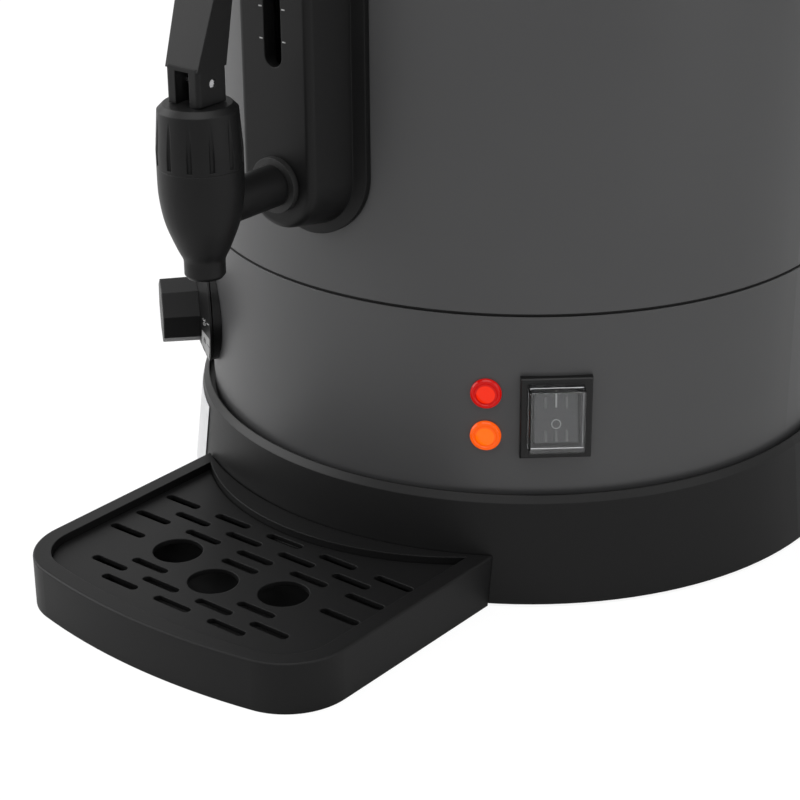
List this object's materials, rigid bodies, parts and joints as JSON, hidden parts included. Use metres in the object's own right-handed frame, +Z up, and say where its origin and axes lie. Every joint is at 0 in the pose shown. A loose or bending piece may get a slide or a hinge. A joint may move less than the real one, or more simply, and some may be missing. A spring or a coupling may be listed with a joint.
{
  "type": "hot water urn",
  "caption": "Free-standing electric hot water urn: round double-walled boiler with front tap, sight gauge, thermostat knob, rocker switch, pilot lamps, lid and slotted drip tray.",
  "frame": {"origin": "on the floor, on the vertical axis of the urn, at the centre of the rubber ring it stands on", "axes": "+Z up along the urn axis, -Y towards the tap and the user, +X to the right seen from above with the tap towards the viewer (the switch side)"},
  "size_m": [0.34, 0.3766, 0.4395],
  "materials": {
    "dark_paint": "satin",
    "black_plastic": "satin",
    "gloss_black": "gloss",
    "steel": "brushed",
    "aluminium": "plain",
    "rubber": "matt",
    "silicone": "matt",
    "wool": "matt",
    "clear": "clear",
    "red_lens": "gloss",
    "orange_lens": "gloss",
    "brass": "plain",
    "foil": "brushed",
    "white_plastic": "plain"
  },
  "bodies": {
    "urn": {"base_housing": "black_plastic", "base_screws": "steel", "blank_plate": "foil", "bonnet": "black_plastic", "bottom_cover": "black_plastic", "capillary_tube": "brass", "control_band": "dark_paint", "cutout_body": "black_plastic", "foot_ring": "rubber", "gauge_elbow": "steel", "gauge_housing": "black_plastic", "handle_screws": "steel", "heater_clamp": "steel", "heater_nuts": "steel", "heater_plate": "aluminium", "heating_element": "steel", "inlet_pins": "steel", "inner_tank": "steel", "insulation_sleeve": "wool", "keep_warm_element": "aluminium", "knob_bezel": "black_plastic", "lamp_nuts": "steel", "left_handle": "black_plastic", "orange_lamp": "orange_lens", "outer_jacket": "dark_paint", "power_inlet": "black_plastic", "red_lamp": "red_lens", "right_handle": "black_plastic", "rim_ring": "black_plastic", "seam_ring": "black_plastic", "sensor_bulb": "brass", "sight_tube": "clear", "splash_cover": "clear", "switch_frame": "black_plastic", "tank_posts": "steel", "tank_seal": "silicone", "tap_body": "black_plastic", "tap_nut": "white_plastic", "tap_spring": "steel", "tap_washer": "silicone", "terminal_block": "white_plastic", "thermostat_body": "aluminium", "tube_grommets": "silicone"},
    "lid": {"lid_shell": "dark_paint", "lid_seal": "rubber", "lid_knob": "black_plastic", "lid_knob_screw": "steel", "vent_cap": "black_plastic"},
    "valve": {"valve_stem": "steel", "seat_cup": "silicone", "lever_pin": "steel"},
    "lever": {"tap_lever": "black_plastic"},
    "knob": {"thermostat_knob": "black_plastic", "dial_skirt": "black_plastic", "thermostat_shaft": "steel"},
    "switch_rocker": {"rocker": "black_plastic"},
    "reset": {"reset_button": "black_plastic"},
    "tray": {"drip_tray": "black_plastic"},
    "grille": {"tray_grille": "black_plastic"}
  },
  "joints": [
    {"name": "lid_lift", "type": "slide", "parent": "urn", "child": "lid", "axis": [0, 0, 1], "range_m": [0, 0.15]},
    {"name": "valve_lift", "type": "slide", "parent": "urn", "child": "valve", "axis": [0, 0, 1], "range_m": [0, 0.004], "deforming": ["tap_spring"]},
    {"name": "lever_tilt", "type": "hinge", "parent": "valve", "child": "lever", "pos_m": [0, -0.1885, 0.2081], "axis": [1, 0, 0], "range_deg": [0, 35], "stiffness_Nm_per_rad": 0.1, "springref_deg": -5.73},
    {"name": "knob_turn", "type": "hinge", "parent": "urn", "child": "knob", "pos_m": [-0.09277, -0.10485, 0.076], "axis": [-0.6626, -0.749, 0], "range_deg": [-270, 0]},
    {"name": "rocker_tip", "type": "hinge", "parent": "urn", "child": "switch_rocker", "pos_m": [0.08558, -0.09572, 0.0753], "axis": [0.7455, 0.6665, 0], "range_deg": [0, 24]},
    {"name": "reset_press", "type": "slide", "parent": "urn", "child": "reset", "axis": [-0.4384, -0.8988, 0], "range_m": [0, 0.002], "stiffness_N_per_m": 400, "springref_m": -0.002},
    {"name": "tray_slide", "type": "slide", "parent": "urn", "child": "tray", "axis": [0, -1, 0], "range_m": [0, 0.09]},
    {"name": "grille_lift", "type": "slide", "parent": "tray", "child": "grille", "axis": [0, 0, 1], "range_m": [0, 0.03]}
  ],
  "couplings": [
    {"joint": "valve_lift", "follows": "lever_tilt", "m_per_rad": 0.006542}
  ]
}
